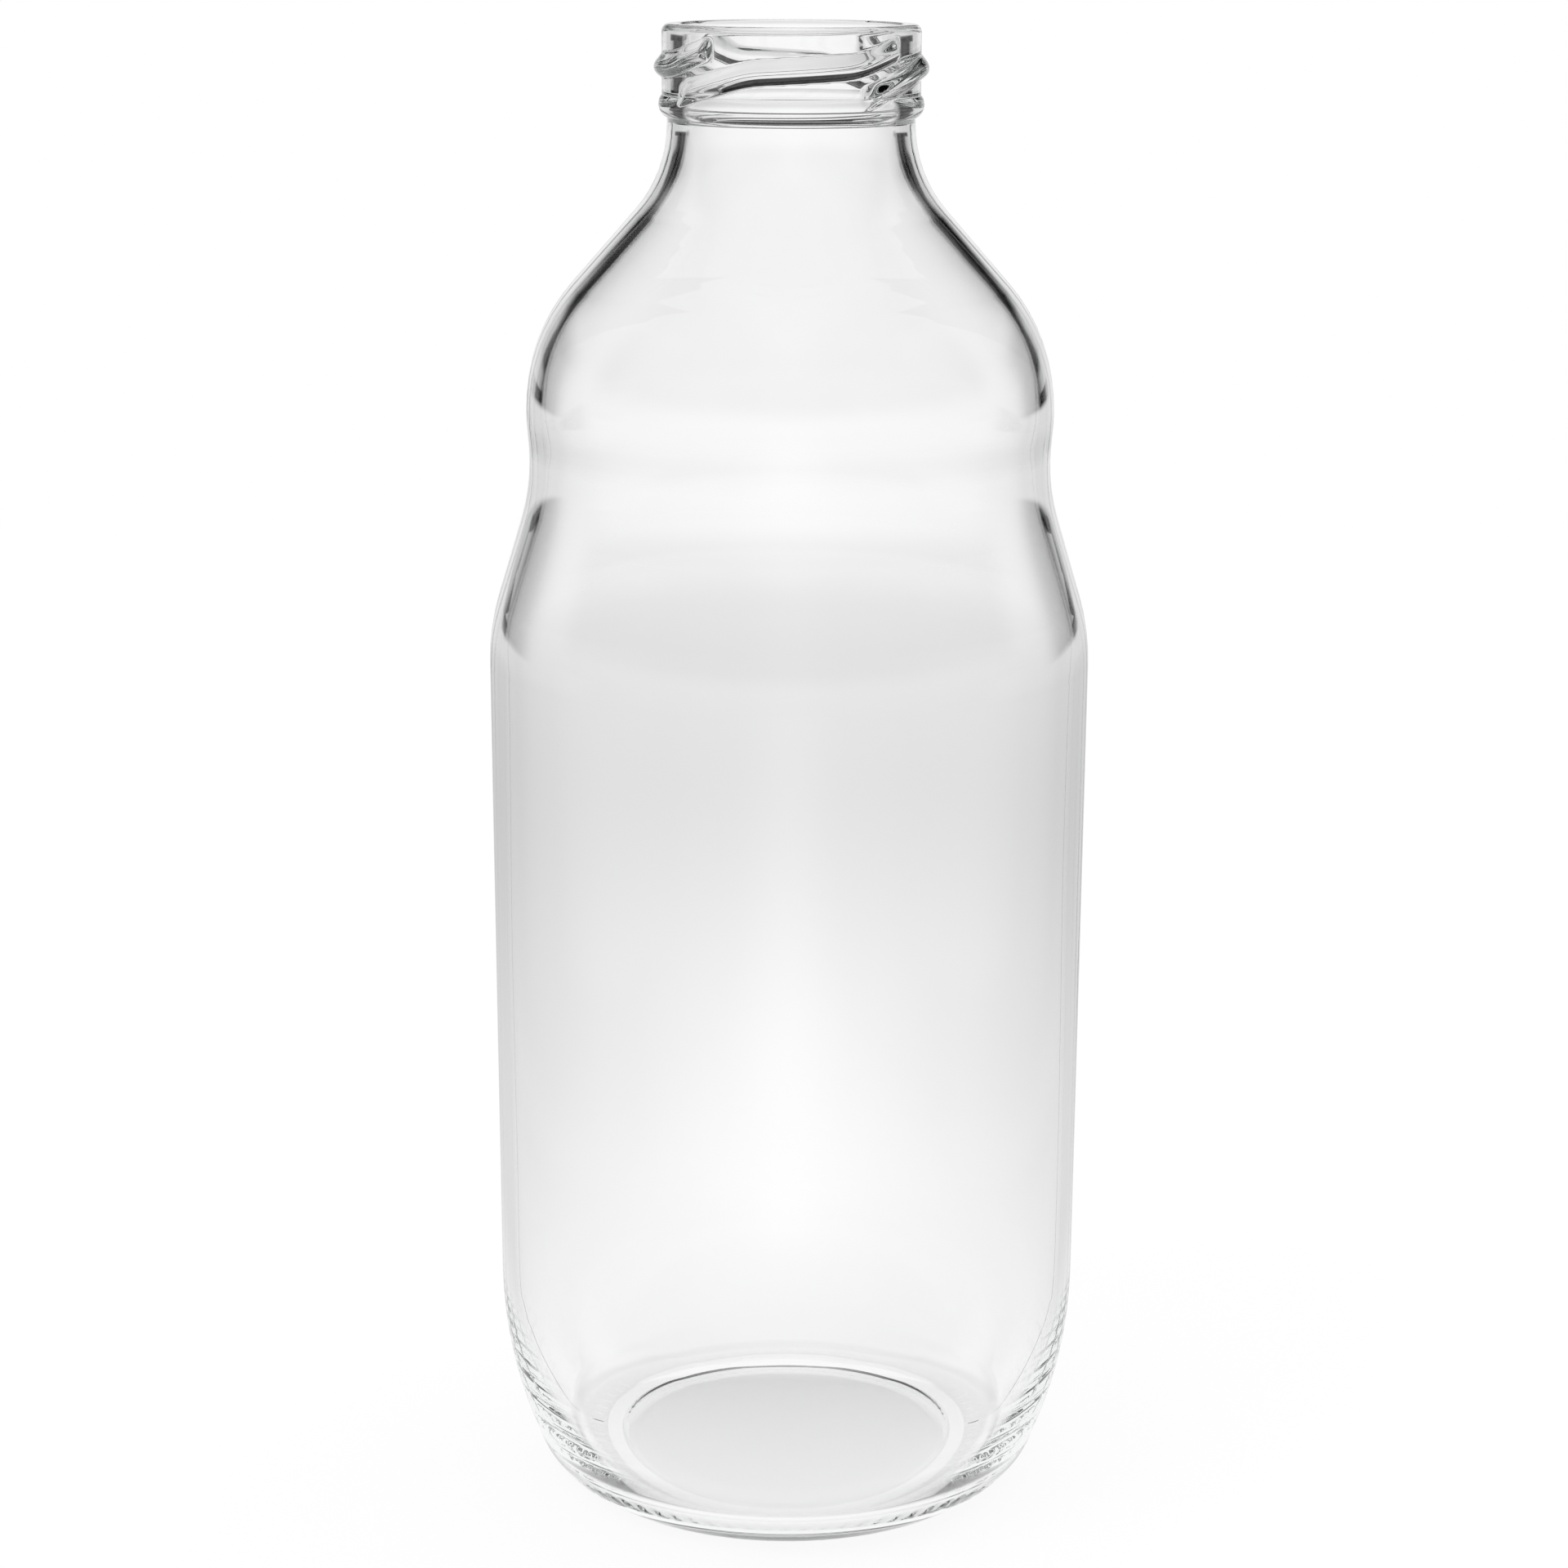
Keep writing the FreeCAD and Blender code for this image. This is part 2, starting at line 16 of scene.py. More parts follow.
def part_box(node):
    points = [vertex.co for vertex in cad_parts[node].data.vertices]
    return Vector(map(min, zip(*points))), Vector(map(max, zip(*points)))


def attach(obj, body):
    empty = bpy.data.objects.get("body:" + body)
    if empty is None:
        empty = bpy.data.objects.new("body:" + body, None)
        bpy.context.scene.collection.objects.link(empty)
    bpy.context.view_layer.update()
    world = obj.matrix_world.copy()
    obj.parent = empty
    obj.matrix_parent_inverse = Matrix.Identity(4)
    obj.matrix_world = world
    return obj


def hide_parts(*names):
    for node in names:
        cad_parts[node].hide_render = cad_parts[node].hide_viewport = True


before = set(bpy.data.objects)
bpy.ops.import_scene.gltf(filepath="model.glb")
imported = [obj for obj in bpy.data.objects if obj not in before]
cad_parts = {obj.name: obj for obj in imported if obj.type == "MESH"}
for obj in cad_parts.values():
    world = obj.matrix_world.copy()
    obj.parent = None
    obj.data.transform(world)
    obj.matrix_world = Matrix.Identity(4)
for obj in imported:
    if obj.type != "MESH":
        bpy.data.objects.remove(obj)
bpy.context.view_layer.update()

bl_info = {
    "name": "Glass Milk Bottle",
    "version": (1, 0, 0),
    "blender": (4, 5, 0),
    "location": "View3D > Sidebar > Milk Bottle",
    "description": "Makes a clear glass milk bottle with a twist-off finish, and its white studio",
    "category": "Object",
}

REGIONS = ("neck_finish", "shoulder", "barrel", "heel", "base")
FINISH_BOX, SHOULDER_BOX, BARREL_BOX, HEEL_BOX = (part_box(name) for name in REGIONS[:4])
PHOTO_WIDTH = 1920


def length(name, description, default):
    """A size in metres."""
    return FloatProperty(name=name, description=description, default=default, unit="LENGTH",
                         precision=5)


def angle(name, description, degrees):
    """An angle, given in degrees and kept in radians."""
    return FloatProperty(name=name, description=description, default=math.radians(degrees),
                         subtype="ANGLE")


def number(name, description, default):
    """A plain number."""
    return FloatProperty(name=name, description=description, default=default, precision=4)


def colour(name, description, default):
    """A linear colour."""
    return FloatVectorProperty(name=name, description=description, default=default, size=3,
                               subtype="COLOR", min=0, max=1)


class BottleOutline(bpy.types.PropertyGroup):
    """Sizes of the turned outline; heights and main radii come from the frame."""

    finish_wall: length("Finish wall", "Glass at the mouth", 0.00315)
    finish_radius: length("Finish radius", "Outside of the plain wall under the lip", 0.0199)
    lip_outer: length("Outer lip", "Round at the outside of the rim", 0.0012)
    lip_inner: length("Inner lip", "Round at the inside of the rim", 0.0009)
    bore_taper: length("Bore taper", "Height over which the bore narrows to the neck", 0.0035)
    bead_proud: length("Bead height", "How far the bead stands out of the plain wall", 0.00053)
    bead_round: length("Bead round", "Radius of the bead's section", 0.0022)
    neck_inset: length("Neck inset", "How far the neck lies inside the finish wall", 0.00085)
    neck_land: length("Neck land", "Straight neck under the bead", 0.00086)
    neck_wall: length("Neck wall", "Glass at the neck", 0.0028)
    neck_curve: length("Neck curve", "Radius of the hollow under the neck", 0.020)
    shoulder_straight: length("Shoulder straight", "Straight run of the shoulder", 0.0149)
    shoulder_wall: length("Shoulder wall", "Glass at the bulge", 0.0023)
    waist_depth: length("Waist depth", "How far the waist lies inside the bulge", 0.0004)
    waist_drop: length("Waist drop", "From the bulge down to the waist", 0.0078)
    waist_wall: length("Waist wall", "Glass at the waist", 0.0024)
    waist_curve: length("Waist curve", "Radius of the hollow below the waist", 0.033)
    step_straight: length("Step straight", "Straight run of the step to the barrel", 0.0132)
    step_height: length("Step height", "From the waist down to the barrel", 0.032)
    barrel_wall: length("Barrel wall", "Glass in the barrel", 0.0021)
    barrel_draft: length("Barrel draft", "How much the barrel narrows to the heel", 0.00035)
    foot_inset: length("Foot inset", "From the barrel in to the bearing ring", 0.016)
    foot_round: length("Foot round", "Tight round above the bearing ring", 0.0111)
    corner_inset: length("Corner inset", "From the inner wall in to the floor's edge", 0.0139)
    corner_round: length("Corner round", "Round of the inner corner", 0.008)
    bearing_width: length("Bearing width", "Flat ring that the bottle stands on", 0.0030)
    push_up_run: length("Push-up run", "Slope at the edge of the hollow underside", 0.0015)
    push_up_step: length("Push-up step", "Rise of that slope", 0.0005)
    push_up_height: length("Push-up height", "Middle of the hollow underside", 0.0018)
    floor_edge: length("Floor edge", "Lowest height of the inner floor", 0.0040)
    floor_crown: length("Floor crown", "Rise of the inner floor to its middle", 0.0018)


class BottleRelief(bpy.types.PropertyGroup):
    """What is pressed into the turned skin."""

    lug_count: IntProperty(name="Lugs", description="Lugs round the finish", default=4, min=1)
    lug_proud: length("Lug height", "How far a lug stands out of the wall", 0.00122)
    lug_lower: length("Lug lower width", "Width of a lug below its crest, at the wall", 0.0016)
    lug_upper: length("Lug upper width", "Width of a lug above its crest, at the wall", 0.0022)
    lug_start: angle("Lug start", "Top end of the front lug, right of the photograph's view", 54)
    lug_lead: angle("Lug lead-in", "Turn of the steep top of a lug", 25)
    lug_hold: angle("Lug hold", "Turn of the nearly level middle", 47)
    lug_run_out: angle("Lug run-out", "Turn of the steep lower end", 41)
    lug_soften: angle("Lug soften", "Turn over which the slopes blend", 5)
    lug_taper: angle("Lug taper", "Turn over which the ends fade", 5)
    lug_top: length("Lug top", "Top end below the rim", 0.0033)
    lug_lead_fall: length("Lead-in fall", "Fall of the steep top", 0.0027)
    lug_hold_fall: length("Hold fall", "Fall of the middle", 0.00095)
    lug_run_out_fall: length("Run-out fall", "Fall of the lower end", 0.0039)
    knurl_count: IntProperty(name="Knurls", description="Strokes round the foot", default=72, min=1)
    knurl_depth: length("Knurl depth", "Depth of the strokes", 0.0001)
    knurl_inner: length("Knurl inside", "Inner end of the strokes", 0.0318)
    knurl_outer: length("Knurl outside", "Outer end of the strokes", 0.0354)
    seam_height: length("Seam height", "Height of the mould seams", 0.00006)
    seam_width: length("Seam width", "Half width of the mould seams", 0.00035)
    base_seam: length("Base seam", "Radius of the seam round the base plate", 0.0366)
    wave_height: length("Wave height", "Unevenness of the blown inside", 0.00008)
    columns: IntProperty(name="Columns", description="Faces round the bottle", default=348, min=24)


class GlassFinish(bpy.types.PropertyGroup):
    """The clear glass."""

    tint: colour("Tint", "Light left after one unit of density", (0.80, 0.84, 0.83))
    density: number("Density", "Absorption per metre", 10.0)
    bend: number("Index", "Refractive index", 1.52)
    polish: number("Polish", "Roughest spot of the fire-polished skin", 0.012)
    ripple: number("Ripple", "Strength of the fine ripple in the skin", 0.006)


class StudioLook(bpy.types.PropertyGroup):
    """Camera, floor, air and lamps; a sideways slope is the sideways share of a ray's heading."""

    camera_distance: length("Camera distance", "From the bottle's axis", 0.5447)
    camera_height: length("Camera height", "Above the floor", 0.25406)
    camera_pitch: angle("Camera pitch", "Downward tilt", 14.2)
    camera_yaw: angle("Camera yaw", "Turn to the left", 0.077)
    camera_roll: angle("Camera roll", "Lean of the frame", 0.22)
    focal_pixels: number("Focal length", "In pixels of the photograph", 4272.18)
    shade_share: number("Shade share", "How much of the floor's shadow shows", 0.08)
    ambient: number("Ambient", "World light on diffuse surfaces", 1.0)
    front_grey: number("Front grey", "Air high in front of the bottle, as glass sees it", 0.05)
    front_level: number("Front level", "Far paper and level air in front of the bottle", 0.75)
    band_inner: number("Band inside", "Sideways slope at which the dark band overhead fades", 0.45)
    band_outer: number("Band outside", "Sideways slope at which it has faded", 0.7)
    contact_radius: length("Contact radius", "Middle of the shade under the foot's front", 0.041)
    contact_width: length("Contact width", "Half width of that shade", 0.003)
    contact_grey: number("Contact grey", "Darkest grey of that shade", 0.2)
    fall_off: number("Fall-off", "Grey of the paper and air left and right of the middle", 0.70)
    fall_slope: number("Fall-off slope", "Sideways slope at which that grey is reached", 0.45)
    fall_near: length("Fall-off near", "Distance within which the fall-off softens", 0.25)
    side_inner: number("Side inside", "Sideways slope at which the dark sides begin", 0.42)
    side_full: number("Side full", "Sideways slope at which they are black", 0.50)
    side_fade: number("Side fade", "Sideways slope at which they start to end", 0.78)
    side_outer: number("Side outside", "Sideways slope at which they have ended", 0.92)
    side_near: length("Side near", "Distance at which the paper is still white", 1.7)
    side_far: length("Side far", "Distance at which the paper ends in the dark sides", 2.3)
    level_grey: number("Level share", "Share of the dark left at the bottle's own level", 0.25)
    level_slope: number("Level slope", "Sideways slope at which all of it is left", 0.62)
    side_top: number("Side top", "Upward slope at which the dark sides start to end", 0.2)
    side_over: number("Side over", "Upward slope at which they have ended", 0.36)


SCREEN_GROUPS = {
    "bottle_outline": BottleOutline,
    "bottle_relief": BottleRelief,
    "bottle_glass": GlassFinish,
    "bottle_studio": StudioLook,
}


# Outline: points are (distance from the axis, height)

ARC_STEP = math.radians(5.5)
FINE_STEP = math.radians(3.2)
UNDER_STEP = math.radians(0.9)
FLOOR_STEP = math.radians(0.8)
CORNER_STEP = math.radians(3)
BEAD_STEP = math.radians(5)
LIP_STEP = math.radians(13)
SIDE_STEP = 0.010
FINISH_STEP = 0.00019
EDGE_STEP = 0.0008
BEARING_STEP = 0.0006
BORE_STEP = 0.002
TAPER_STEP = 0.0024


def arc(centre, start, end, step=ARC_STEP):
    """Points after start, up to end, on the shorter arc round centre."""
    spoke = start - centre
    last = end - centre
    sweep = math.atan2(spoke.x * last.y - spoke.y * last.x, spoke.dot(last))
    count = max(2, math.ceil(abs(sweep) / step))
    return [centre + Matrix.Rotation(sweep * i / count, 2) @ spoke for i in range(1, count + 1)]


def straight(start, end, step=SIDE_STEP):
    """Points after start, up to end, on a straight run."""
    count = max(1, math.ceil((end - start).length / step))
    return [start.lerp(end, i / count) for i in range(1, count + 1)]


def flare(top, bottom, curve, run_length):
    """Points after top, down to bottom: hollow arc, straight and round arc, both ends upright."""
    run = bottom.x - top.x
    fall = top.y - bottom.y
    half_turn = math.atan2(run, fall + run_length)
    chord = math.hypot(run, fall) * math.cos(math.atan2(run, fall) - half_turn)
    both_radii = (chord - run_length * math.cos(half_turn)) / (2 * math.sin(half_turn))
    last_radius = both_radii - curve
    spoke = Vector((math.cos(2 * half_turn), math.sin(2 * half_turn)))
    hollow_centre = top + Vector((curve, 0))
    round_centre = bottom - Vector((last_radius, 0))
    hollow_end = hollow_centre - spoke * curve
    round_start = round_centre + spoke * last_radius
    points = arc(hollow_centre, top, hollow_end)
    points += straight(hollow_end, round_start)
    return points + arc(round_centre, round_start, bottom)


def swell(top, bottom):
    """Points after top, down to bottom: two equal arcs, both ends upright."""
    run = top.x - bottom.x
    fall = top.y - bottom.y
    radius = (fall ** 2 + run ** 2) / (4 * run)
    middle = top.lerp(bottom, 0.5)
    points = arc(top - Vector((radius, 0)), top, middle, FINE_STEP)
    return points + arc(bottom + Vector((radius, 0)), middle, bottom, FINE_STEP)


def round_down(wall, centre, tight):
    """Points after wall, down and in to the lowest point of the tight round about centre."""
    inset = wall.x - centre.x
    rise = wall.y - centre.y
    long_radius = (inset ** 2 + rise ** 2 - tight ** 2) / (2 * (inset - tight))
    long_centre = wall - Vector((long_radius, 0))
    change = long_centre + (centre - long_centre).normalized() * long_radius
    points = arc(long_centre, wall, change, FINE_STEP)
    return points + arc(centre, change, centre - Vector((0, tight)), FINE_STEP)


def backwards(start, points):
    """The same run walked the other way: points after its last, up to start."""
    return list(reversed([start] + points[:-1]))


class Station:
    """One ring of the skin: where it lies, which way it faces and what is pressed into it."""

    def __init__(self, place, zone):
        self.place = place
        self.zone = zone
        self.normal = Vector((0, 0))


def bottle_stations(sizes):
    """The outline from the middle of the underside to the middle of the inner floor."""
    rim = FINISH_BOX[1].z
    neck_z = SHOULDER_BOX[1].z
    waist_z = SHOULDER_BOX[0].z
    bulge_z = waist_z + sizes.waist_drop
    heel_z = HEEL_BOX[1].z
    barrel_z = waist_z - sizes.step_height
    barrel_radius = BARREL_BOX[1].x
    foot_radius = barrel_radius - sizes.barrel_draft
    bulge_radius = SHOULDER_BOX[1].x
    waist_radius = bulge_radius - sizes.waist_depth
    neck_radius = sizes.finish_radius - sizes.neck_inset
    bore_radius = sizes.finish_radius - sizes.finish_wall
    floor_top = sizes.floor_edge + sizes.floor_crown

    bearing = foot_radius - sizes.foot_inset
    foot_centre = Vector((bearing, sizes.foot_round))
    ring_outer = Vector((bearing, 0))
    ring_inner = Vector((bearing - sizes.bearing_width, 0))
    hollow_edge = ring_inner + Vector((-sizes.push_up_run, sizes.push_up_step))
    hollow_top = Vector((0, sizes.push_up_height))
    arch = hollow_top.y - hollow_edge.y
    hollow_centre = hollow_top - Vector((0, (hollow_edge.x ** 2 + arch ** 2) / (2 * arch)))
    foot = Vector((foot_radius, heel_z))
    barrel = Vector((barrel_radius, barrel_z))
    waist = Vector((waist_radius, waist_z))
    bulge = Vector((bulge_radius, bulge_z))
    neck = Vector((neck_radius, neck_z))
    bead_centre_r = sizes.finish_radius + sizes.bead_proud - sizes.bead_round
    bead_start = neck + Vector((0, sizes.neck_land))
    below_crest = math.sqrt(sizes.bead_round ** 2 - (neck_radius - bead_centre_r) ** 2)
    above_crest = math.sqrt(sizes.bead_round ** 2 - (sizes.finish_radius - bead_centre_r) ** 2)
    bead_centre = Vector((bead_centre_r, bead_start.y + below_crest))
    bead_end = Vector((sizes.finish_radius, bead_centre.y + above_crest))
    wall_end = Vector((sizes.finish_radius, rim - sizes.lip_outer))
    rim_outer = Vector((sizes.finish_radius - sizes.lip_outer, rim))
    rim_inner = Vector((bore_radius + sizes.lip_inner, rim))
    bore_top = Vector((bore_radius, rim - sizes.lip_inner))
    bore_end = Vector((bore_radius, neck_z + sizes.bore_taper))
    inner_neck = Vector((neck_radius - sizes.neck_wall, neck_z))
    inner_bulge = Vector((bulge_radius - sizes.shoulder_wall, bulge_z))
    inner_waist = Vector((waist_radius - sizes.waist_wall, waist_z))
    inner_barrel = Vector((barrel_radius - sizes.barrel_wall, barrel_z))
    inner_foot = Vector((foot_radius - sizes.barrel_wall, heel_z))
    corner = Vector((inner_foot.x - sizes.corner_inset, sizes.floor_edge + sizes.corner_round))
    above_floor = corner.y - floor_top
    floor_radius = (corner.x ** 2 + above_floor ** 2 - sizes.corner_round ** 2) / (
        2 * (sizes.corner_round - above_floor)
    )
    floor_centre = Vector((0, floor_top - floor_radius))
    floor_end = floor_centre + (corner - floor_centre).normalized() * floor_radius

    runs = [
        ("under", [hollow_top] + arc(hollow_centre, hollow_top, hollow_edge, UNDER_STEP)),
        ("under", straight(hollow_edge, ring_inner, EDGE_STEP)),
        ("foot", straight(ring_inner, ring_outer, BEARING_STEP)),
        ("foot", backwards(foot, round_down(foot, foot_centre, sizes.foot_round))),
        ("side", straight(foot, barrel)),
        ("side", backwards(waist, flare(waist, barrel, sizes.waist_curve, sizes.step_straight))),
        ("side", backwards(bulge, swell(bulge, waist))),
        ("side", backwards(neck, flare(neck, bulge, sizes.neck_curve, sizes.shoulder_straight))),
        ("side", straight(neck, bead_start)),
        ("finish", arc(bead_centre, bead_start, bead_end, BEAD_STEP)),
        ("finish", straight(bead_end, wall_end, FINISH_STEP)),
        ("lip", arc(wall_end - Vector((sizes.lip_outer, 0)), wall_end, rim_outer, LIP_STEP)),
        ("lip", straight(rim_outer, rim_inner, EDGE_STEP)),
        ("lip", arc(bore_top + Vector((sizes.lip_inner, 0)), rim_inner, bore_top, LIP_STEP)),
        ("bore", straight(bore_top, bore_end, BORE_STEP)),
        ("bore", straight(bore_end, inner_neck, TAPER_STEP)),
        ("inside", flare(inner_neck, inner_bulge, sizes.neck_curve + sizes.neck_wall,
                         sizes.shoulder_straight)),
        ("inside", swell(inner_bulge, inner_waist)),
        ("inside", flare(inner_waist, inner_barrel, sizes.waist_curve + sizes.waist_wall,
                         sizes.step_straight)),
        ("inside", straight(inner_barrel, inner_foot)),
        ("inside", floor_run(inner_foot, corner, sizes.corner_round, floor_end)),
        ("floor", arc(floor_centre, floor_end, Vector((0, floor_top)), FLOOR_STEP)),
    ]
    stations = [Station(place, zone) for zone, places in runs for place in places]
    for before, station, after in zip(stations, stations[1:], stations[2:]):
        along = (after.place - before.place).normalized()
        station.normal = Vector((along.y, -along.x))
    return stations


def floor_run(wall, corner, tight, floor_end):
    """Points after the inner wall, round the corner, to where the floor's dome starts."""
    points = round_down(wall, corner, tight)
    return points + arc(corner, points[-1], floor_end, CORNER_STEP)


# Relief: each gives how far the skin stands out, in metres, at one point

# Power of a lug's section on its gentler upper side
LUG_UPPER_POWER = 1.5
# Distances over which the strokes and the upright seams fade out at the foot
KNURL_FADE = 0.0006
SEAM_FADE = 0.002
# Heights between which the blown unevenness comes in above the floor and ends below the neck
WAVE_BEGIN = (0.012, 0.03)
WAVE_END = (0.205, 0.22)
# Waves of the blown inside: strength, waves round, radians per metre of height, start
WAVES = [(0.5, 2, 31, 0.7), (0.3, 3, -47, 2.1), (0.15, 5, 83, 4.0), (0.125, 1, 95, 0.0)]
# Extra columns beside each mould seam, in degrees
SEAM_COLUMNS = (-0.8, -0.4, -0.2, 0.2, 0.4, 0.8)


def soft_step(low, high, here):
    """0 below low, 1 above high and smooth between."""
    share = min(max((here - low) / (high - low), 0.0), 1.0)
    return share * share * (3 - 2 * share)


def lug_fall(relief, turned):
    """Height of a lug's crest below the rim, a turn away from its top end."""
    corners = [
        (0.0, relief.lug_top),
        (relief.lug_lead, relief.lug_lead_fall),
        (relief.lug_hold, relief.lug_hold_fall),
        (relief.lug_run_out, relief.lug_run_out_fall),
    ]
    here, fall = corners[0]
    for turn, drop in corners[1:]:
        share = min(max((turned - here) / turn, 0.0), 1.0)
        fall += drop * share
        here += turn
    return fall


def soft_lug_fall(relief, turned):
    """The same path with its corners blended."""
    offsets = (-1.0, -0.5, 0.0, 0.5, 1.0)
    return sum(lug_fall(relief, turned + o * relief.lug_soften) for o in offsets) / len(offsets)


def lug_relief(relief, around, below_rim):
    """The lugs: slanting ridges that start under the rim and run down into the bead."""
    whole = relief.lug_lead + relief.lug_hold + relief.lug_run_out
    spacing = math.tau / relief.lug_count
    most = 0.0
    for k in range(relief.lug_count):
        turned = (relief.lug_start + k * spacing - around) % math.tau
        if turned > whole:
            continue
        drop = below_rim - soft_lug_fall(relief, turned)
        off = drop / (relief.lug_lower if drop > 0 else relief.lug_upper)
        if abs(off) >= 1:
            continue
        top_end = soft_step(0, relief.lug_taper, turned)
        low_end = soft_step(0, 2 * relief.lug_taper, whole - turned)
        section = (1 - off * off) ** (1 if drop > 0 else LUG_UPPER_POWER)
        most = max(most, relief.lug_proud * section * top_end * low_end)
    return most


def knurl_relief(relief, around, out):
    """The strokes under the foot, pressed into the glass."""
    window = soft_step(relief.knurl_inner, relief.knurl_inner + KNURL_FADE, out)
    window *= 1 - soft_step(relief.knurl_outer - KNURL_FADE, relief.knurl_outer, out)
    stroke = max(0.0, math.cos(around * relief.knurl_count)) ** 2
    return -relief.knurl_depth * window * stroke


def mould_seam(relief, around, out):
    """The upright seams where the mould's two halves met, at the bottle's left and right."""
    off_seam = abs(math.cos(around)) * out / relief.seam_width
    return relief.seam_height * math.exp(-off_seam * off_seam)


def plate_seam(relief, out):
    """The ring seam between the mould and its base plate."""
    off_seam = (out - relief.base_seam) / relief.seam_width
    return relief.seam_height * math.exp(-off_seam * off_seam)


def blown_wave(relief, around, up):
    """The unevenness that blowing leaves on the inside."""
    total = 0.0
    for strength, waves_round, waves_up, start in WAVES:
        total += strength * math.sin(waves_round * around + waves_up * up + start)
    return relief.wave_height * total


def relief_at(relief, station, around):
    """What is pressed into the skin at one point of a ring."""
    out, up = station.place
    if station.zone == "finish":
        return lug_relief(relief, around, FINISH_BOX[1].z - up)
    if station.zone == "foot":
        beyond_plate = soft_step(relief.base_seam, relief.base_seam + SEAM_FADE, out)
        seams = plate_seam(relief, out) + mould_seam(relief, around, out) * beyond_plate
        return knurl_relief(relief, around, out) + seams
    if station.zone == "side":
        return mould_seam(relief, around, out)
    if station.zone == "inside":
        fade = soft_step(*WAVE_BEGIN, up) * (1 - soft_step(*WAVE_END, up))
        return blown_wave(relief, around, up) * fade
    return 0.0


def ring_turns(relief):
    """Turns of the skin's columns, closer together at the two mould seams."""
    turns = [math.tau * k / relief.columns for k in range(relief.columns)]
    for seam in (math.pi / 2, 3 * math.pi / 2):
        turns += [seam + math.radians(off) for off in SEAM_COLUMNS]
    return sorted(turns)


def bottle_mesh(sizes, relief):
    """The closed skin. Turns run from the photograph's view (-Y) towards +X."""
    stations = bottle_stations(sizes)
    turns = ring_turns(relief)
    mesh = bmesh.new()
    rings = []
    for station in stations[1:-1]:
        ring = []
        for around in turns:
            out, up = station.place + station.normal * relief_at(relief, station, around)
            ring.append(mesh.verts.new((out * math.sin(around), -out * math.cos(around), up)))
        rings.append(ring)
    under = mesh.verts.new((0, 0, stations[0].place.y))
    floor = mesh.verts.new((0, 0, stations[-1].place.y))
    count = len(turns)
    for k in range(count):
        n = (k + 1) % count
        mesh.faces.new((under, rings[0][n], rings[0][k]))
        mesh.faces.new((floor, rings[-1][k], rings[-1][n]))
        for low, high in zip(rings, rings[1:]):
            mesh.faces.new((low[k], low[n], high[n], high[k]))
    for face in mesh.faces:
        face.smooth = True
    data = bpy.data.meshes.new("glass_bottle")
    mesh.to_mesh(data)
    mesh.free()
    return data


# Materials

# Dull spots in the polish and ripple in the skin, both by noise in the bottle's own metres
SMEAR_SCALE = 38.0
SMEAR_RANGE = (0.5, 0.8)
RIPPLE_SCALE = 55.0
RIPPLE_DEPTH = 0.001


def wire(tree, source, target):
    """Link two sockets."""
    tree.links.new(source, target)


def add(tree, kind, **settings):
    """A node with its settings and plain inputs."""
    node = tree.nodes.new(kind)
    for name, setting in settings.items():
        if name in node.inputs:
            node.inputs[name].default_value = setting
        else:
            setattr(node, name, setting)
    return node


def fresh_tree(owner):
    """An empty node tree on a material or a world."""
    owner.use_nodes = True
    owner.node_tree.nodes.clear()
    return owner.node_tree


def soft_range(tree, source, low, high, at_low, at_high, ease="SMOOTHSTEP"):
    """A change from one value to another while the source goes from low to high."""
    change = add(tree, "ShaderNodeMapRange", interpolation_type=ease)
    change.inputs["From Min"].default_value = low
    change.inputs["From Max"].default_value = high
    change.inputs["To Min"].default_value = at_low
    change.inputs["To Max"].default_value = at_high
    wire(tree, source, change.inputs["Value"])
    return change.outputs["Result"]


def clear_glass(finish):
    """Fire-polished glass: a faint ripple, near-perfect polish and a little grey in the depth."""
    material = bpy.data.materials.new("clear_glass")
    tree = fresh_tree(material)
    output = add(tree, "ShaderNodeOutputMaterial")
    glass = add(tree, "ShaderNodeBsdfPrincipled")
    glass.inputs["Base Color"].default_value = (1, 1, 1, 1)
    glass.inputs["Transmission Weight"].default_value = 1
    glass.inputs["IOR"].default_value = finish.bend
    where = add(tree, "ShaderNodeTexCoord")
    # Faint smears and dull spots in the polish
    smear = add(tree, "ShaderNodeTexNoise", Scale=SMEAR_SCALE, Detail=4.0)
    wire(tree, where.outputs["Object"], smear.inputs["Vector"])
    polish = soft_range(tree, smear.outputs["Fac"], *SMEAR_RANGE, 0.0, finish.polish, "LINEAR")
    wire(tree, polish, glass.inputs["Roughness"])
    # The cooled skin is not quite even
    ripple = add(tree, "ShaderNodeTexNoise", Scale=RIPPLE_SCALE, Detail=2.0)
    bump = add(tree, "ShaderNodeBump", Strength=finish.ripple, Distance=RIPPLE_DEPTH)
    wire(tree, where.outputs["Object"], ripple.inputs["Vector"])
    wire(tree, ripple.outputs["Fac"], bump.inputs["Height"])
    wire(tree, bump.outputs["Normal"], glass.inputs["Normal"])
    depth = add(tree, "ShaderNodeVolumeAbsorption")
    depth.inputs["Color"].default_value = (*finish.tint, 1)
    depth.inputs["Density"].default_value = finish.density
    wire(tree, glass.outputs["BSDF"], output.inputs["Surface"])
    wire(tree, depth.outputs["Volume"], output.inputs["Volume"])
    return material


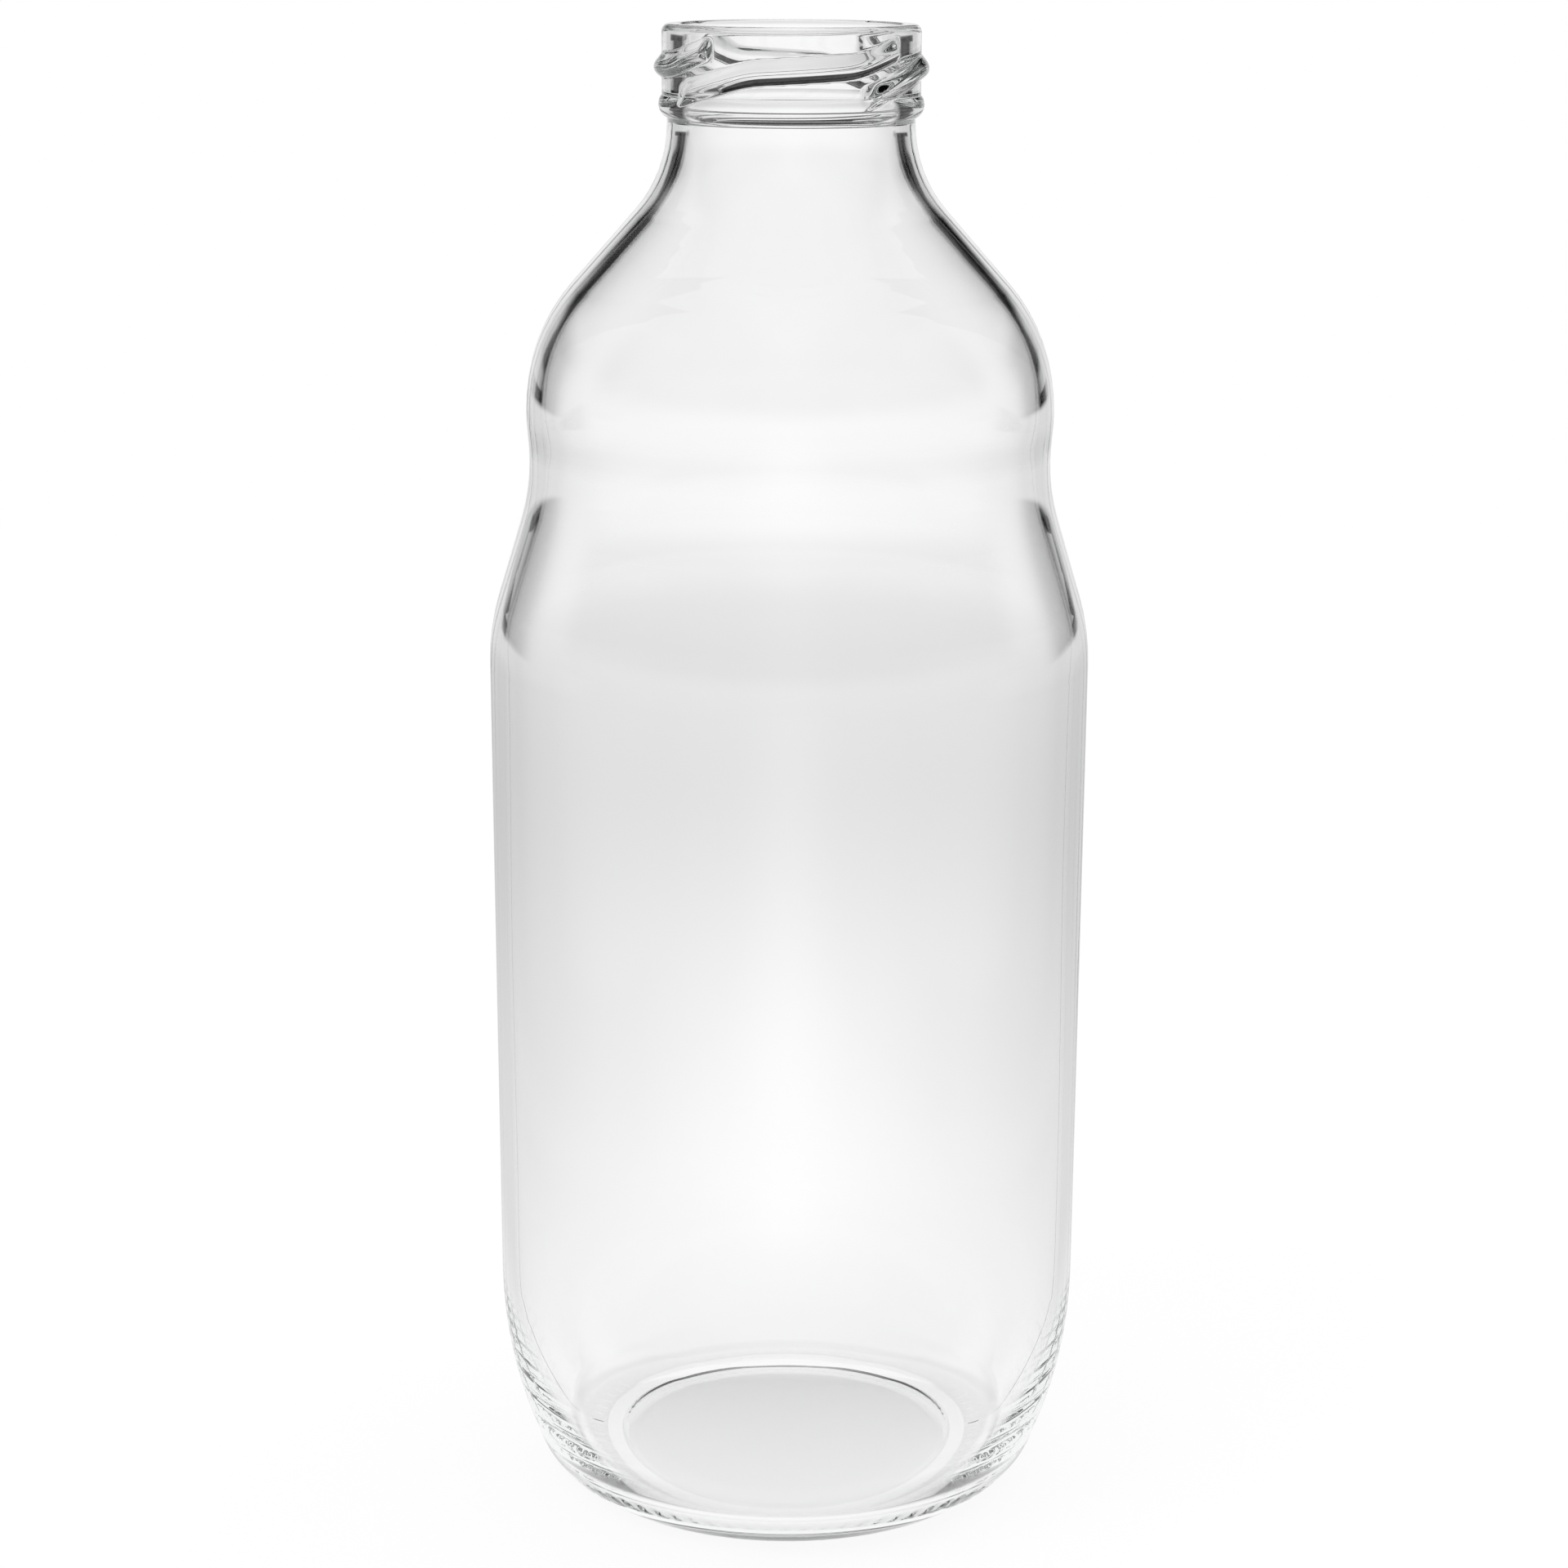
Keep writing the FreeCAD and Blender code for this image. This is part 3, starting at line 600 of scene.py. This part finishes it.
def seen_rays(tree):
    """Two shares: rays from the camera, and those along with what glass mirrors or lets through."""
    path = add(tree, "ShaderNodeLightPath")
    mirrored = add(tree, "ShaderNodeMath", operation="MAXIMUM")
    seen = add(tree, "ShaderNodeMath", operation="MAXIMUM")
    wire(tree, path.outputs["Is Glossy Ray"], mirrored.inputs[0])
    wire(tree, path.outputs["Is Transmission Ray"], mirrored.inputs[1])
    wire(tree, path.outputs["Is Camera Ray"], seen.inputs[0])
    wire(tree, mirrored.outputs["Value"], seen.inputs[1])
    return path.outputs["Is Camera Ray"], seen.outputs["Value"]


def tone_ramp(tree, stops):
    """A smooth run of greys: stops are (place from 0 to 1, grey)."""
    ramp = add(tree, "ShaderNodeValToRGB")
    ramp.color_ramp.interpolation = "EASE"
    elements = ramp.color_ramp.elements
    for (place, grey), made in zip(stops, list(elements)):
        made.position = place
        made.color = (grey, grey, grey, 1)
    for place, grey in stops[len(elements):]:
        elements.new(place).color = (grey, grey, grey, 1)
    return ramp


# Studio: a pair is where a change begins and ends, as a distance in metres or a slope of a ray

FLOOR_REACH = 6.0
FLOOR_SIDES = 96
PAPER_WHITE = 0.95
SIDE_BLACK = 0.01
# Greys of the floor as glass sees it: (distance from the axis over FLOOR_REACH, grey)
FLOOR_TONES = [(0.0, 1.0), (0.02, 1.0), (0.079, 0.78), (0.18, 1.0)]
# Greys of the air as glass sees it: (height from 0 straight down to 1 straight up, grey)
AIR_TONES = [(0.0, 0.95), (0.56, 0.95), (0.62, 0.0), (0.90, 0.0), (0.96, 1.0)]
# Real shade shows on the paper near the bottle only
SHADE_END = (0.5, 1.0)
# The dark sides come in behind the bottle, and thin out where far paper meets level air
SIDE_TURN = (0.0, 0.2)
LEVEL_PAPER = (3.8, 5.0)
LEVEL_AIR = (0.0, 0.05)
# Past the dark sides the paper and the air get light again, by this share
LIGHT_SIDE = (0.8, 0.98)
LIGHT_SHARE = 0.7
# The shade under the foot goes from all of it in front to this share behind
CONTACT_TURN = (-0.5, 0.3)
CONTACT_BEHIND = 0.1
# What lies in front of the bottle, on the paper and in the air
FRONT_TURN = (-0.3, 0.0)
FRONT_PAPER = (0.3, 1.2)
FRONT_RISE = (0.03, 0.3)
BACK_TURN = (0.0, 0.3)
# Light goes through many inner reflections in the heel before it leaves
LIGHT_BOUNCES = 32
SENSOR_WIDTH = 36
# Soft lamps that glass doesn't mirror: place, size, power
LAMPS = {
    "key_lamp": ((-0.9, -0.7, 1.3), 0.7, 6.0),
    "fill_lamp": ((1.0, 0.5, 1.2), 0.9, 4.0),
}
LAMP_TARGET = (0, 0, 0.12)


def mixed(tree, share, first, second):
    """A colour between two, by a share; each is a socket or a grey."""
    mix = add(tree, "ShaderNodeMixRGB")
    wire(tree, share, mix.inputs["Fac"])
    for socket, colour_in in ((mix.inputs["Color1"], first), (mix.inputs["Color2"], second)):
        if isinstance(colour_in, float):
            socket.default_value = (colour_in, colour_in, colour_in, 1)
        else:
            wire(tree, colour_in, socket)
    return mix.outputs["Color"]


def product(tree, *factors):
    """Values multiplied together."""
    result = factors[0]
    for factor in factors[1:]:
        times = add(tree, "ShaderNodeMath", operation="MULTIPLY")
        wire(tree, result, times.inputs[0])
        wire(tree, factor, times.inputs[1])
        result = times.outputs["Value"]
    return result


def size_of(tree, value):
    """A value without its sign."""
    plain = add(tree, "ShaderNodeMath", operation="ABSOLUTE")
    wire(tree, value, plain.inputs[0])
    return plain.outputs["Value"]


def dark_sides(tree, look, slope, backward):
    """Share of black left and right behind the bottle, by a ray's sideways and backward slope."""
    begun = soft_range(tree, slope, look.side_inner, look.side_full, 0.0, 1.0)
    unended = soft_range(tree, slope, look.side_fade, look.side_outer, 1.0, 0.0)
    return product(tree, begun, unended, soft_range(tree, backward, *SIDE_TURN, 0.0, 1.0))


def side_fall_off(tree, look, slope):
    """Grey of the paper and the air by a ray's sideways slope: lightest behind and at the sides."""
    behind = soft_range(tree, slope, 0.0, look.fall_slope, 1.0, look.fall_off)
    return mixed(tree, soft_range(tree, slope, *LIGHT_SIDE, 0.0, LIGHT_SHARE), behind, 1.0)


def level_share(tree, look, slope):
    """Share of the dark sides that shows at the bottle's own level."""
    return soft_range(tree, slope, look.side_full, look.level_slope, look.level_grey, 1.0)


def studio_floor(look):
    """White paper to the camera, with a share of real shade.

    Glass sees a soft grey ring, less light left and right, dark sides far behind, a lit front and a
    shade under the front of the foot.
    """
    material = bpy.data.materials.new("studio_floor")
    tree = fresh_tree(material)
    output = add(tree, "ShaderNodeOutputMaterial")
    paper = add(tree, "ShaderNodeBsdfDiffuse", Color=(PAPER_WHITE, PAPER_WHITE, PAPER_WHITE, 1))
    glow = add(tree, "ShaderNodeEmission")
    mix = add(tree, "ShaderNodeMixShader")
    camera, seen = seen_rays(tree)
    where = add(tree, "ShaderNodeTexCoord")
    length_out = add(tree, "ShaderNodeVectorMath", operation="LENGTH")
    reach = add(tree, "ShaderNodeMath", operation="DIVIDE")
    reach.inputs[1].default_value = FLOOR_REACH
    wire(tree, where.outputs["Object"], length_out.inputs[0])
    away = length_out.outputs["Value"]
    wire(tree, away, reach.inputs[0])
    glows = soft_range(tree, away, *SHADE_END, 1 - look.shade_share, 1.0)
    wire(tree, product(tree, seen, glows), mix.inputs["Fac"])
    ring = tone_ramp(tree, FLOOR_TONES)
    wire(tree, reach.outputs["Value"], ring.inputs["Fac"])
    # The light falls off to the left and right of straight behind
    heading = add(tree, "ShaderNodeVectorMath", operation="NORMALIZE")
    slopes = add(tree, "ShaderNodeSeparateXYZ")
    wire(tree, where.outputs["Object"], heading.inputs[0])
    wire(tree, heading.outputs["Vector"], slopes.inputs["Vector"])
    slope = size_of(tree, slopes.outputs["X"])
    backward = slopes.outputs["Y"]
    near_axis = soft_range(tree, away, 0.0, look.fall_near, 0.0, 1.0)
    fall_off = side_fall_off(tree, look, product(tree, slope, near_axis))
    level = soft_range(tree, away, *LEVEL_PAPER, 0.0, 1.0)
    dark = product(
        tree,
        dark_sides(tree, look, slope, backward),
        soft_range(tree, away, look.side_near, look.side_far, 0.0, 1.0),
        mixed(tree, level, 1.0, level_share(tree, look, slope)),
    )
    # The light comes from behind and doesn't get in under the round of the foot in front
    off_foot = add(tree, "ShaderNodeMath", operation="SUBTRACT")
    off_foot.inputs[1].default_value = look.contact_radius
    wire(tree, away, off_foot.inputs[0])
    near_foot = size_of(tree, off_foot.outputs["Value"])
    shade = product(
        tree,
        soft_range(tree, near_foot, 0.0, look.contact_width, 1.0, 0.0),
        soft_range(tree, backward, *CONTACT_TURN, 1.0, CONTACT_BEHIND),
    )
    in_front = product(
        tree,
        soft_range(tree, backward, *FRONT_TURN, 1.0, 0.0),
        soft_range(tree, away, *FRONT_PAPER, 0.0, 1.0),
    )
    paper_tone = product(tree, ring.outputs["Color"], fall_off)
    lit = mixed(tree, shade, mixed(tree, in_front, paper_tone, look.front_level), look.contact_grey)
    glass_sees = mixed(tree, dark, lit, SIDE_BLACK)
    wire(tree, mixed(tree, camera, glass_sees, 1.0), glow.inputs["Color"])
    wire(tree, paper.outputs["BSDF"], mix.inputs[1])
    wire(tree, glow.outputs["Emission"], mix.inputs[2])
    wire(tree, mix.outputs["Shader"], output.inputs["Surface"])
    return material


def studio_air(look):
    """White air to the camera.

    Glass sees lit air straight behind with a dark band above it, dark sides, and a front that
    darkens upwards.
    """
    world = bpy.data.worlds.new("studio_air")
    bpy.context.scene.world = world
    tree = fresh_tree(world)
    output = add(tree, "ShaderNodeOutputWorld")
    background = add(tree, "ShaderNodeBackground")
    camera, seen = seen_rays(tree)
    where = add(tree, "ShaderNodeTexCoord")
    split = add(tree, "ShaderNodeSeparateXYZ")
    wire(tree, where.outputs["Generated"], split.inputs["Vector"])
    slope = size_of(tree, split.outputs["X"])
    backward = split.outputs["Y"]
    upward = split.outputs["Z"]
    tones = tone_ramp(tree, AIR_TONES)
    wire(tree, soft_range(tree, upward, -1.0, 1.0, 0.0, 1.0, "LINEAR"), tones.inputs["Fac"])
    # The dark band lies straight behind the bottle only, above the lit paper
    straight_on = soft_range(tree, slope, look.band_inner, look.band_outer, 1.0, 0.0)
    band = mixed(tree, straight_on, 1.0, tones.outputs["Color"])
    back = product(tree, side_fall_off(tree, look, slope), band)
    above_level = soft_range(tree, upward, *LEVEL_AIR, 0.0, 1.0)
    dark = product(
        tree,
        dark_sides(tree, look, slope, backward),
        mixed(tree, above_level, level_share(tree, look, slope), 1.0),
        soft_range(tree, upward, look.side_top, look.side_over, 1.0, 0.0),
    )
    front = soft_range(tree, upward, *FRONT_RISE, look.front_level, look.front_grey)
    behind = soft_range(tree, backward, *BACK_TURN, 0.0, 1.0)
    around = mixed(tree, dark, mixed(tree, behind, front, back), SIDE_BLACK)
    seen_air = mixed(tree, camera, around, 1.0)
    wire(tree, mixed(tree, seen, look.ambient, seen_air), background.inputs["Color"])
    wire(tree, background.outputs["Background"], output.inputs["Surface"])


def place_camera(look):
    """The camera at the photograph's place, looking down at the bottle."""
    data = bpy.data.cameras.new("photo_camera")
    data.sensor_width = SENSOR_WIDTH
    data.lens = look.focal_pixels / PHOTO_WIDTH * data.sensor_width
    camera = bpy.data.objects.new("photo_camera", data)
    bpy.context.scene.collection.objects.link(camera)
    turn = Matrix.Rotation(look.camera_yaw, 4, "Z")
    turn @= Matrix.Rotation(math.pi / 2 - look.camera_pitch, 4, "X")
    turn @= Matrix.Rotation(look.camera_roll, 4, "Z")
    camera.matrix_world = Matrix.Translation((0, -look.camera_distance, look.camera_height)) @ turn
    bpy.context.scene.camera = camera


def add_lamp(name, place, size, power):
    """A square soft lamp that faces the bottle and lights the floor and its shade."""
    data = bpy.data.lights.new(name, "AREA")
    data.size = size
    data.energy = power
    lamp = bpy.data.objects.new(name, data)
    bpy.context.scene.collection.objects.link(lamp)
    lamp.location = place
    lamp.visible_glossy = False
    lamp.visible_transmission = False
    away = Vector(place) - Vector(LAMP_TARGET)
    lamp.rotation_euler = away.to_track_quat("Z", "Y").to_euler()


class MILKBOTTLE_OT_glass(bpy.types.Operator):
    """Make the glass bottle in place of the plain solids"""

    bl_idname = "milkbottle.glass"
    bl_label = "Make Glass Bottle"

    def execute(self, context):
        scene = context.scene
        data = bottle_mesh(scene.bottle_outline, scene.bottle_relief)
        data.materials.append(clear_glass(scene.bottle_glass))
        bottle = bpy.data.objects.new("glass_bottle", data)
        scene.collection.objects.link(bottle)
        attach(bottle, "root")
        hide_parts(*REGIONS)
        return {"FINISHED"}


class MILKBOTTLE_OT_studio(bpy.types.Operator):
    """Set the camera, the white floor, the air and the lamps"""

    bl_idname = "milkbottle.studio"
    bl_label = "Set Studio"

    def execute(self, context):
        look = context.scene.bottle_studio
        context.scene.view_settings.view_transform = "Standard"
        context.scene.cycles.max_bounces = LIGHT_BOUNCES
        context.scene.cycles.glossy_bounces = LIGHT_BOUNCES
        context.scene.cycles.transmission_bounces = LIGHT_BOUNCES
        place_camera(look)
        studio_air(look)
        mesh = bmesh.new()
        bmesh.ops.create_circle(mesh, cap_ends=True, segments=FLOOR_SIDES, radius=FLOOR_REACH)
        data = bpy.data.meshes.new("studio_floor")
        mesh.to_mesh(data)
        mesh.free()
        data.materials.append(studio_floor(look))
        floor = bpy.data.objects.new("studio_floor", data)
        context.scene.collection.objects.link(floor)
        for name, (place, size, power) in LAMPS.items():
            add_lamp(name, place, size, power)
        return {"FINISHED"}


class MILKBOTTLE_PT_panel(bpy.types.Panel):
    """The bottle's tools and sizes"""

    bl_idname = "MILKBOTTLE_PT_panel"
    bl_label = "Milk Bottle"
    bl_space_type = "VIEW_3D"
    bl_region_type = "UI"
    bl_category = "Milk Bottle"

    def draw(self, context):
        layout = self.layout
        for operator in (MILKBOTTLE_OT_glass, MILKBOTTLE_OT_studio):
            layout.operator(operator.bl_idname)
        for group, kind in SCREEN_GROUPS.items():
            box = layout.box()
            box.label(text=kind.__doc__)
            for name in kind.__annotations__:
                box.prop(getattr(context.scene, group), name)


CLASSES = (*SCREEN_GROUPS.values(), MILKBOTTLE_OT_glass, MILKBOTTLE_OT_studio, MILKBOTTLE_PT_panel)


def register():
    """Add the classes and their settings."""
    for kind in CLASSES:
        bpy.utils.register_class(kind)
    for group, kind in SCREEN_GROUPS.items():
        setattr(bpy.types.Scene, group, PointerProperty(type=kind))


def unregister():
    """Take them away again."""
    for group in SCREEN_GROUPS:
        delattr(bpy.types.Scene, group)
    for kind in reversed(CLASSES):
        bpy.utils.unregister_class(kind)


def main():
    """Make everything in order."""
    register()
    bpy.ops.milkbottle.glass()
    bpy.ops.milkbottle.studio()


if __name__ == "__main__":
    main()
